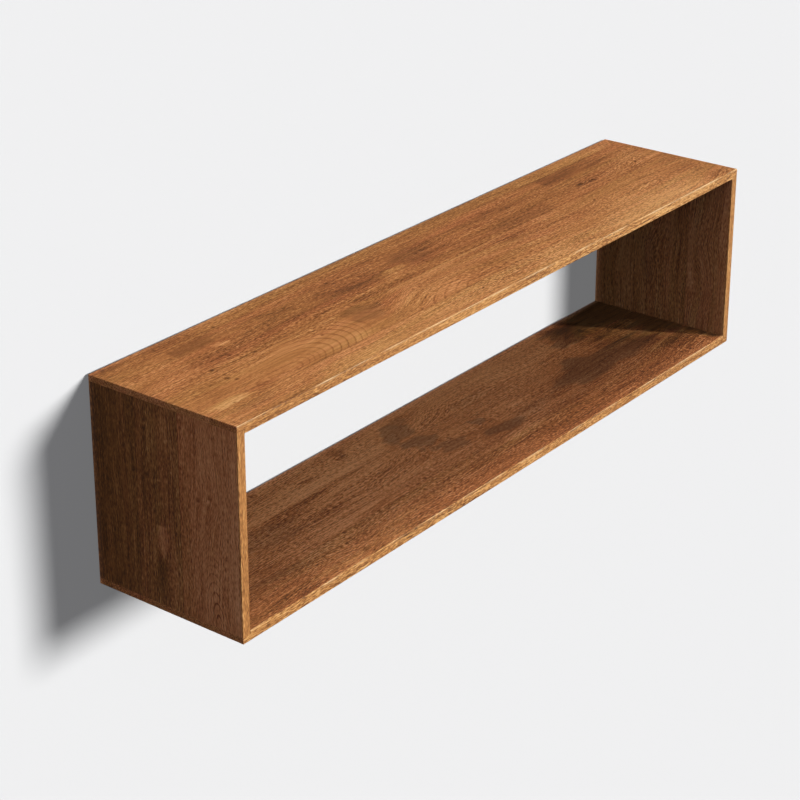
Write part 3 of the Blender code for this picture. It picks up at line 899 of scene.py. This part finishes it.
def cut_bed(skin, plate_node):
    """Cut the plate's bed and the pocket for the wall screw's head, and keep the cut mesh."""
    low, high = (np.array(corner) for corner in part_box(plate_node))
    centre = (low[[0, 2]] + high[[0, 2]]) / 2
    width, length = (high - low)[[0, 2]]
    run = (length - width) / 2
    bed = slot_block(centre, width + 2 * BED_ROOM, run, CUT_FROM, low[1] - BED_BELOW)
    pocket = slot_block(centre, POCKET_WIDTH, POCKET_RUN, CUT_FROM, POCKET_FLOOR)
    for block in (bed, pocket):
        cut = skin.modifiers.new("cut", "BOOLEAN")
        cut.operation = "DIFFERENCE"
        cut.solver = "EXACT"
        cut.object = block
    graph = bpy.context.evaluated_depsgraph_get()
    mesh = bpy.data.meshes.new_from_object(skin.evaluated_get(graph))
    skin.modifiers.clear()
    skin.data = mesh
    for block in (bed, pocket):
        bpy.data.objects.remove(block)


print("pockets are", round(POCKET_WIDTH / MM, 1), "mm wide and", round(-POCKET_FLOOR / MM), "deep")

# %% [markdown]
# ## Storing the figure
# Each point of a skin stores what the material needs: where it lies in the wood, its ring number,
# how plainly rings show there, how coarse the pores are, its tone, how much grey-brown stain and
# gold it has, and how worn the arris is. Under the spots each stave has a base of its own, because
# staves come from different trees.
# The worn arris also holds a painted highlight, and the stain some painted shadow.

# %% The base of each stave: tone, gold (below 0 is redder), stain
BASE = {
    "top_stave_rear": (-0.11, 0.0, 0.0),
    "top_stave_mid_rear": (-0.08, -0.05, 0.0),
    "top_stave_mid_front": (-0.01, 0.08, 0.0),
    "top_stave_front": (0.055, 0.08, 0.0),
    "bottom_stave_rear": (0.12, -0.85, 0.0),
    "bottom_stave_middle": (0.05, -0.85, 0.0),
    "bottom_stave_front": (-0.08, -0.5, 0.0),
    # The left board's rear and middle staves are darker partly as painted shade near the wall.
    "left_stave_rear": (-0.18, 0.45, 0.28),
    "left_stave_middle": (-0.19, 0.25, 0.20),
    "left_stave_front": (-0.01, -0.7, 0.0),
    "right_stave_rear": (0.025, 0.25, 0.04),
    "right_stave_middle": (-0.03, 0.2, 0.06),
    "right_stave_front": (0.05, -0.15, 0.12),
}
END_TONE = {
    "top_stave_rear": -0.03, "top_stave_mid_rear": 0.02, "top_stave_mid_front": 0.04,
    "top_stave_front": -0.08, "bottom_stave_rear": -0.16, "bottom_stave_middle": -0.08,
    "bottom_stave_front": -0.04,
}
FRONT_TONE = {"top": 0.022, "bottom": 0.003, "left": -0.14, "right": 0.0}
FRONT_GOLD, END_GOLD = 1.0, -0.15  # planed front edges are the most golden, end grain is red
WALL_SHADE_SLOPE = {"left": 0.30}  # painted shade: how much lighter a board's front is than its rear at the wall
COARSE = {"top": 1.0, "bottom": 1.4, "left": 1.15, "right": 1.2}
print("staves with a base:", len(BASE))

# %% Fibres, rings and pores
LOG_STEP = (1700, 310)  # mm between the places in the noise that the staves are cut from
RING_SHOW = 0.35  # a faint line wherever rings aren't named as plain
RING_PATCHES, RING_YEARS = (0.75, 0.3), (0.75, 0.5)  # mean and swing, by place and by year
PORE_SWING = 0.2
EDGE_COARSE = 0.7  # the pores on a side board's edges and far face are finer
FACE_ZONE = 1.0  # mm that belong to the show face


def grain_place(node, at, seed):
    """Along, bent across and deep, moved to a place of the stave's own in the noise."""
    along, _, deep = at
    bent = bent_across(node, at, seed)
    return np.stack([along + LOG_STEP[0] * seed, bent + LOG_STEP[1] * seed, deep], axis=1)


def ring_strength(node, at, ring, seed):
    """Faint all over plus the plain places, times a slow wander and one from year to year."""
    show = lay_spots(np.full_like(ring, RING_SHOW), "rings", node, at, seed)
    show *= RING_PATCHES[0] + RING_PATCHES[1] * drift(at[0], at[1], 90, 30, seed + 2)
    return show * (RING_YEARS[0] + RING_YEARS[1] * drift(ring, 0 * ring, 2.3, 1, seed + 3))


def pore_strength(node, at, seed):
    """The board's coarseness times a slow wander, plus the open places, less the closed ones."""
    along, across, deep = at
    coarse = COARSE[board_of(node)] * (1 + PORE_SWING * drift(along, across, 70, 14, seed + 5))
    if board_of(node) not in LONG_BOARDS:
        coarse = np.where(deep > FACE_ZONE, EDGE_COARSE * coarse, coarse)
    return lay_spots(coarse, "pores", node, at, seed)


sample = np.array([[250.0], [170.0], [0.0]])
print("ring strength on the arches:",
      round(float(ring_strength("top_stave_mid_front", sample, sample[0], 3)[0]), 2))

# %% Knots, stain and gold
KNOT_DARK, KNOT_STAIN = 0.38, 0.5
KNOT_DEPTH = 12  # mm below the face over which a knot fades
EDGE_ZONE, END_ZONE = 1.0, 0.5  # mm that belong to an edge and to the end grain
STAIN_RIM = 0.36  # a cloud's rim is sharper than a tone spot's


def knot_heart(node, at):
    """Near 1 in a knot's heart: a bell on the oval's radius that fades with depth."""
    along, across, deep = at
    heart = np.zeros_like(along)
    for at_along, at_across, radius in KNOTS.get(node, []):
        away = np.hypot((along - at_along) / (1.3 * radius), (across - at_across) / radius)
        bell = np.exp(-away ** 2) * np.exp(-np.maximum(deep, 0) / KNOT_DEPTH)
        heart = np.maximum(heart, bell)
    return heart


def stain_and_shadow_strength(node, at, seed):
    """Each cloud takes its share of what the ones before it have left clean."""
    stain_and_shadow = np.full_like(at[0], BASE[node][2])
    for amount, cloud in spots_on("stain_and_shadow", node, at, seed, STAIN_RIM):
        stain_and_shadow += amount * cloud * (1 - stain_and_shadow)
    return stain_and_shadow


def edge_and_end(board, at):
    """Where points lie on a board's front edge, and where on a long board's end grain."""
    front = at[1] > BOARD_DEPTH - EDGE_ZONE
    end = np.abs(at[0] - HALF_LENGTH) > HALF_LENGTH - END_ZONE
    return front, end & (board in LONG_BOARDS)


def gold_strength(node, at, seed):
    """The stave's own gold plus its spots, with fixed amounts on front edges and end grain."""
    gold = lay_spots(np.full_like(at[0], BASE[node][1]), "gold", node, at, seed)
    front, end = edge_and_end(board_of(node), at)
    gold[front] = FRONT_GOLD
    gold[end] = END_GOLD
    return gold


print("gold on a front edge", FRONT_GOLD, "and on end grain", END_GOLD)

# %% Tone
REAR_PAINTED_SHADE = 0.34  # painted shade: the rear arris against the wall lies in the shadow of the gap behind it
SEAM_DARK = 0.16  # a glue line drinks in the oil here and there
TONE_STREAKS = (1.1, 0.5)  # mean and swing of the streaks in a tone spot
REAR_SHADE_STRIP, SEAM_STRIP = 0.85, 0.1  # mm
CARRIED = 0.5  # share of a face's spots that carries on down the front edge


def stave_tone(node, at, seed):
    """The stave's own tone, sloped and spotted, then set apart at its edges, seams and ends."""
    board = board_of(node)
    along, across, deep = at
    base = BASE[node][0]
    # Painted shade: the slope darkens a board towards the wall.
    tone = base + WALL_SHADE_SLOPE.get(board, 0.0) * (across / BOARD_DEPTH - 0.5)
    streaks = TONE_STREAKS[0] + TONE_STREAKS[1] * drift(along, across, 70, 5, seed + 4)
    tone = lay_spots(tone, "tone", node, at, seed, streaks)
    front, end = edge_and_end(board, at)
    tone = np.where(front, FRONT_TONE[board] + CARRIED * (tone - base), tone)
    # Painted shade along the rear arris of each long board, where it meets the wall.
    tone -= REAR_PAINTED_SHADE * ((across > 0.01) & (across < REAR_SHADE_STRIP) & (board in LONG_BOARDS))
    seam = np.minimum(across - across.min(), across.max() - across) < SEAM_STRIP
    seam &= (across > EDGE_ZONE) & ~front & (np.abs(deep) < SEAM_STRIP)
    tone -= SEAM_DARK * seam * np.clip(0.6 + drift(along, 0 * along, 60, 1, seed + 6), 0, 1)
    if board in LONG_BOARDS:
        tone[end] = END_TONE[node]
    return tone


print("tone runs from", min(row[0] for row in BASE.values()), "to",
      max(row[0] for row in BASE.values()))

# %% The worn front arris, with a painted highlight
# Wear and a painted highlight: the upper front arrises of the long boards are lightened.
ARRIS_WEAR_AND_HIGHLIGHT = {"top": 0.40, "bottom": 0.18}
WEAR_AND_HIGHLIGHT_SWING = 0.45  # from place to place, 34 mm apart
ARRIS_BLUR = 0.6 * ARRIS


def arris_wear_and_highlight(board, points, along):
    """1 on the eased front arris above a long board's edge and 0 a little way from it.

    It is the nearness to the arc's middle, uneven along the board: wear and a painted highlight.
    """
    if board not in LONG_BOARDS:
        return np.zeros_like(along)
    low, high = np.array(cad_box)
    above = high[2] if board == "top" else SHELF_FACE * MM
    middle = ARRIS * (1 - math.sqrt(0.5))
    away = np.hypot(points[:, 1] - low[1] - middle, above - points[:, 2] - middle)
    wear = ARRIS_WEAR_AND_HIGHLIGHT[board] + WEAR_AND_HIGHLIGHT_SWING * drift(along, 0 * along, 34, 1, 7)
    return np.clip((ARRIS + WORN_HIGHLIT_RIM - away) / ARRIS_BLUR, 0, 1) * np.clip(wear, 0, 1)


into = ARRIS * (1 - math.sqrt(0.5))
sample = np.array([[0.0, cad_box[0][1] + into, cad_box[1][2] - into]])
print("wear of the upper arris at mid length:",
      round(float(arris_wear_and_highlight("top", sample, np.array([HALF_LENGTH]))[0]), 2))

# %% Figure of one stave, point by point
def store(mesh, name, values):
    """Keep one number or one vector for each point of a mesh."""
    kind, key = ("FLOAT_VECTOR", "vector") if values.ndim == 2 else ("FLOAT", "value")
    layer = mesh.attributes.new(name, kind, "POINT")
    layer.data.foreach_set(key, values.astype(np.float32).ravel())


def store_figure(mesh, node, seed):
    """Work out and store the parts of a stave's figure at every point of its skin."""
    points = np.zeros(len(mesh.vertices) * 3)
    mesh.vertices.foreach_get("co", points)
    points = points.reshape(-1, 3)
    at = on_board(board_of(node), points)
    ring = ring_number(node, at, seed)
    knot = knot_heart(node, at)
    store(mesh, "grain", grain_place(node, at, seed))
    store(mesh, "ring", ring)
    store(mesh, "ring_show", ring_strength(node, at, ring, seed))
    store(mesh, "coarse", pore_strength(node, at, seed))
    store(mesh, "tone", stave_tone(node, at, seed) - KNOT_DARK * knot)
    store(mesh, "stain_and_shadow", np.clip(stain_and_shadow_strength(node, at, seed) + KNOT_STAIN * knot, 0, 1))
    store(mesh, "gold", gold_strength(node, at, seed))
    store(mesh, "arris", arris_wear_and_highlight(board_of(node), points, at[0]))


print("every skin's points will store 8 parts of the figure")

# %% [markdown]
# ## Oiled mango
# Kiln-dried mango, planed, sanded to a fine grit and wiped with oil. The oil deepens the brown and
# leaves a soft satin without a film, so the pores stay open as short dark dashes. The colour runs
# from dark red-brown to gold along one ramp, and layers of stretched noise push it up and down:
# slow clouds, streaks, strands and fibres. Vessels in mango are about 0.2 mm wide and a few
# millimetres long, too fine for a view of the whole shelf, so they are drawn 1.2 by 8 mm.

# %% Oiled mango: layers of noise on the stored tone
# Along mm, across mm, detail, distortion, strength
WOOD_LAYERS = {
    "cloud": (300, 26, 2, 0.0, 0.28),
    "streak": (130, 4.2, 3, 0.5, 0.54),
    "mottle": (40, 10, 2, 0.4, 0.20),
    "strand": (90, 1.9, 1, 0.3, 0.74),
    "fibre": (7.0, 1.4, 1, 0.0, 1.15),
}
FINE_LAYERS = ("strand", "fibre")  # those that a close, smooth patch of wood lacks
STORED = ("ring", "ring_show", "coarse", "tone", "stain_and_shadow", "gold", "arris")

mango = bpy.data.materials.new("oiled_mango")
mango.use_nodes = True
tree = mango.node_tree
shader = tree.nodes["Principled BSDF"]
grain = add_node(tree, "Attribute", attribute_name="grain").outputs["Vector"]
stored = {name: add_node(tree, "Attribute", attribute_name=name).outputs["Fac"]
          for name in STORED}
tone = stored["tone"]
noises = {}
for layer, (along, across, detail, distortion, strength) in WOOD_LAYERS.items():
    place = add_node(tree, "VectorMath", {0: grain, 1: (1 / along, 1 / across, 1 / across)},
                     operation="MULTIPLY")
    noise = add_node(tree, "TexNoise", {
        "Vector": place.outputs[0], "Scale": 1.0, "Detail": detail, "Roughness": 0.6,
        "Distortion": distortion,
    })
    noises[layer] = noise.outputs["Fac"]
    swing = add_node(tree, "Math", {0: noises[layer], 1: 0.5}, operation="SUBTRACT")
    if layer in FINE_LAYERS:
        swing = add_node(tree, "Math", {0: swing.outputs[0], 1: stored["coarse"]},
                         operation="MULTIPLY")
    tone = add_node(tree, "Math", {0: swing.outputs[0], 1: strength, 2: tone},
                    operation="MULTIPLY_ADD").outputs[0]
print("layers:", ", ".join(WOOD_LAYERS))

# %% Oiled mango: open vessels, and fibres that catch the light
PORE_LENGTH, PORE_WIDTH = 8.0, 1.2  # mm
PORE_NOISE = (0.60, 0.67)  # noise from here up is a vessel
GLINT_NOISE = (0.38, 0.30)  # and from here down a light fibre
PORE_DARK, GLINT_LIGHT = 0.085, 0.17

place = add_node(tree, "VectorMath", {
    0: grain,
    1: (1 / PORE_LENGTH, 1 / PORE_WIDTH, 1 / PORE_WIDTH),
}, operation="MULTIPLY")
vessels = add_node(tree, "TexNoise", {"Vector": place.outputs[0], "Scale": 1.0, "Detail": 0.0})
dashes = {}
for dash, (start, full), strength in (("pore", PORE_NOISE, -PORE_DARK),
                                      ("glint", GLINT_NOISE, GLINT_LIGHT)):
    dashes[dash] = add_node(tree, "MapRange", {
        "Value": vessels.outputs["Fac"], "From Min": start, "From Max": full,
        "To Max": stored["coarse"],
    }).outputs[0]
    tone = add_node(tree, "Math", {0: dashes[dash], 1: strength, 2: tone},
                    operation="MULTIPLY_ADD").outputs[0]
print("vessels drawn", PORE_LENGTH, "x", PORE_WIDTH, "mm")

# %% Oiled mango: rings
LATE_WOOD = (0.64, 0.88)  # share of a year over which its wood darkens
YEARS_END = (0.90, 1.0)  # and over which it turns pale again
EARLY_PALE = -0.30  # early wood beside the dark line
RING_DARK = 0.20
RING_SWAY = 0.12  # years by which the streaks shift a ring

year = add_node(tree, "Math", {0: noises["streak"], 1: RING_SWAY, 2: stored["ring"]},
                operation="MULTIPLY_ADD")
season = add_node(tree, "Math", {0: year.outputs[0]}, operation="FRACT")
late = add_node(tree, "MapRange", {
    "Value": season.outputs[0], "From Min": LATE_WOOD[0], "From Max": LATE_WOOD[1],
    "To Min": EARLY_PALE, "To Max": 1.0,
}, interpolation_type="SMOOTHSTEP")
shut = add_node(tree, "MapRange", {
    "Value": season.outputs[0], "From Min": YEARS_END[0], "From Max": YEARS_END[1],
    "To Min": 1.0, "To Max": EARLY_PALE,
})
line = add_node(tree, "Math", {0: late.outputs[0], 1: shut.outputs[0]}, operation="MINIMUM")
shown = add_node(tree, "Math", {0: line.outputs[0], 1: stored["ring_show"]},
                 operation="MULTIPLY")
tone = add_node(tree, "Math", {0: shown.outputs[0], 1: -RING_DARK, 2: tone},
                operation="MULTIPLY_ADD").outputs[0]
print("rings darken by", RING_DARK)

# %% Oiled mango: from tone to colour
WOOD_RAMP = ((0.0, "#6A421E"), (0.25, "#9A602B"), (0.5, "#C48242"), (0.75, "#E2A55D"),
             (1.0, "#F6C078"))
# The stain tint also greys painted shadow at the lower board's right end.
STAIN_AND_SHADOW_TINT, BLUSH_TINT, GOLD_TINT = linear("#C2CAD4"), linear("#FFEAF8"), linear("#FCFFFF")
# The pale of a worn arris, which also stands for a painted highlight.
WORN_HIGHLIT_WOOD = linear("#F6D29A")
BLUSH_NOISE = (0.30, 0.74)  # where in the slow clouds red wood begins and is full

middle = add_node(tree, "Math", {0: tone, 1: 0.5}, operation="ADD")
ramp = add_node(tree, "ValToRGB", {0: middle.outputs[0]})
for position, _ in WOOD_RAMP[1:-1]:
    ramp.color_ramp.elements.new(position)
for element, (position, colour) in zip(ramp.color_ramp.elements, WOOD_RAMP):
    element.position = position
    element.color = linear(colour)
blush = add_node(tree, "MapRange", {"Value": noises["cloud"], "From Min": BLUSH_NOISE[0],
                                    "From Max": BLUSH_NOISE[1]})
redder = add_node(tree, "Math", {0: blush.outputs[0], 1: stored["gold"]},
                  operation="SUBTRACT", use_clamp=True)
colour = ramp.outputs[0]
for share, tint in ((stored["stain_and_shadow"], STAIN_AND_SHADOW_TINT), (redder.outputs[0], BLUSH_TINT),
                    (stored["gold"], GOLD_TINT)):
    colour = add_node(tree, "Mix", {0: share, 6: colour, 7: tint},
                      data_type="RGBA", blend_type="MULTIPLY").outputs[2]
# Wear and a painted highlight lighten the front arris.
worn_and_highlit = add_node(tree, "Mix", {0: stored["arris"], 6: colour, 7: WORN_HIGHLIT_WOOD}, data_type="RGBA")
tree.links.new(worn_and_highlit.outputs[2], shader.inputs["Base Color"])
print("ramp from", WOOD_RAMP[0][1], "to", WOOD_RAMP[-1][1])

# %% Oiled mango: satin and relief
OIL_ROUGHNESS, PORE_ROUGHER, STRAND_ROUGHER = 0.50, 0.15, 0.16
OIL_IOR, OIL_SPECULAR = 1.47, 0.45
PORE_SUNK = -0.8  # beside 1 for a fibre
RELIEF = 0.22 * MM

dull = add_node(tree, "Math", {0: dashes["pore"], 1: PORE_ROUGHER, 2: OIL_ROUGHNESS},
                operation="MULTIPLY_ADD")
rough = add_node(tree, "Math", {0: noises["strand"], 1: STRAND_ROUGHER, 2: dull.outputs[0]},
                 operation="MULTIPLY_ADD")
fibres = add_node(tree, "Math", {0: noises["strand"], 1: noises["fibre"]}, operation="ADD")
height = add_node(tree, "Math", {0: dashes["pore"], 1: PORE_SUNK, 2: fibres.outputs[0]},
                  operation="MULTIPLY_ADD")
relief = add_node(tree, "Bump", {"Height": height.outputs[0], "Strength": 0.5,
                                 "Distance": RELIEF})
tree.links.new(rough.outputs[0], shader.inputs["Roughness"])
tree.links.new(relief.outputs[0], shader.inputs["Normal"])
shader.inputs["IOR"].default_value = OIL_IOR
shader.inputs["Specular IOR Level"].default_value = OIL_SPECULAR
print("oiled mango has", len(tree.nodes), "nodes")

# %% [markdown]
# ## Dressing the staves
# Each skin takes the place of its CAD stave. It gets its figure after the Boolean, so that the
# points of the cut have theirs too. It is shaded smooth, and only real corners stay crisp.

# %% Dress the thirteen staves
PLATES = {"left_stave_rear": "keyhole_plate_left", "right_stave_rear": "keyhole_plate_right"}
SHARP_EDGE = 40  # degrees between faces that stay crisp
triangles = 0
for seed, node in enumerate(PITH, start=1):
    points, quads = stave_skin(node)
    mesh = bpy.data.meshes.new("oiled_" + node)
    mesh.from_pydata(points, [], quads.tolist())
    skin = bpy.data.objects.new("oiled_" + node, mesh)
    bpy.context.scene.collection.objects.link(skin)
    if node in PLATES:
        cut_bed(skin, PLATES[node])
    mesh = skin.data
    store_figure(mesh, node, seed)
    mesh.materials.clear()
    mesh.materials.append(mango)
    mesh.shade_smooth()
    mesh.set_sharp_from_angle(angle=math.radians(SHARP_EDGE))
    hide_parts(node)
    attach(skin, "root")
    mesh.calc_loop_triangles()
    triangles += len(mesh.loop_triangles)
print("staves dressed:", len(PITH), "triangles:", triangles)

# %% [markdown]
# ## Hardware
# The keyhole plates are stamped from mild steel and zinc plated, which leaves a grey with a fine
# drawn grain and a slightly bluish bloom. The screws are the same. The dowels are turned from
# beech, pale with short brown flecks. All of it sits in the wood, so only the plates show, and
# only from behind. The CAD's own meshes have the right shape, so they only need these finishes.

# %% Material: zinc-plated steel
DRAWN_WIDTH, DRAWN_LENGTH, DRAWN_DEPTH = 0.4 * MM, 12.5 * MM, 0.02 * MM
BLOOM = 6.25 * MM  # across a cloud
STEEL_ROUGHNESS = (0.26, 0.46)

steel = bpy.data.materials.new("zinc_plated_steel")
steel.use_nodes = True
tree = steel.node_tree
shader = tree.nodes["Principled BSDF"]
place = add_node(tree, "TexCoord").outputs["Object"]
drawn = add_node(tree, "VectorMath", {
    0: place,
    1: (1 / DRAWN_WIDTH, 1 / DRAWN_WIDTH, 1 / DRAWN_LENGTH),
}, operation="MULTIPLY")
lines = add_node(tree, "TexNoise", {"Vector": drawn.outputs[0], "Scale": 1.0, "Detail": 2.0})
bloom = add_node(tree, "TexNoise", {"Vector": place, "Scale": 1 / BLOOM, "Detail": 3.0})
zinc = add_node(tree, "ValToRGB", {0: bloom.outputs["Fac"]})
for element, position, colour in zip(zinc.color_ramp.elements, (0.3, 0.7),
                                     ("#A9ACAD", "#C9CBC9")):
    element.position = position
    element.color = linear(colour)
rough = add_node(tree, "MapRange", {"Value": lines.outputs["Fac"],
                                    "To Min": STEEL_ROUGHNESS[0], "To Max": STEEL_ROUGHNESS[1]})
relief = add_node(tree, "Bump", {"Height": lines.outputs["Fac"], "Strength": 0.2,
                                 "Distance": DRAWN_DEPTH})
tree.links.new(zinc.outputs[0], shader.inputs["Base Color"])
tree.links.new(rough.outputs[0], shader.inputs["Roughness"])
tree.links.new(relief.outputs[0], shader.inputs["Normal"])
shader.inputs["Metallic"].default_value = 1.0
print("drawn grain", round(DRAWN_WIDTH / MM, 1), "mm wide")

# %% Material: turned beech
FLECK_LENGTH, FLECK_WIDTH, FLECK_DEPTH = 3.03 * MM, 0.4 * MM, 0.05 * MM
BEECH_ROUGHNESS = 0.62

beech = bpy.data.materials.new("turned_beech")
beech.use_nodes = True
tree = beech.node_tree
shader = tree.nodes["Principled BSDF"]
place = add_node(tree, "VectorMath", {
    0: add_node(tree, "TexCoord").outputs["Object"],
    1: (1 / FLECK_LENGTH, 1 / FLECK_WIDTH, 1 / FLECK_WIDTH),
}, operation="MULTIPLY")
flecks = add_node(tree, "TexNoise", {"Vector": place.outputs[0], "Scale": 1.0, "Detail": 2.0})
pale = add_node(tree, "ValToRGB", {0: flecks.outputs["Fac"]})
for element, position, colour in zip(pale.color_ramp.elements, (0.35, 0.68),
                                     ("#D9B88A", "#B98A58")):
    element.position = position
    element.color = linear(colour)
relief = add_node(tree, "Bump", {"Height": flecks.outputs["Fac"], "Strength": 0.3,
                                 "Distance": FLECK_DEPTH})
tree.links.new(pale.outputs[0], shader.inputs["Base Color"])
tree.links.new(relief.outputs[0], shader.inputs["Normal"])
shader.inputs["Roughness"].default_value = BEECH_ROUGHNESS
print("flecks", round(FLECK_LENGTH / MM), "mm long")

# %% Finish the hardware
finished = 0
for name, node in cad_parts.items():
    if name in PITH:
        continue
    if not node.data.materials:
        node.data.materials.append(steel)
    node.material_slots[0].material = beech if name.startswith("dowel") else steel
    finished += 1
print("hardware finished:", finished)
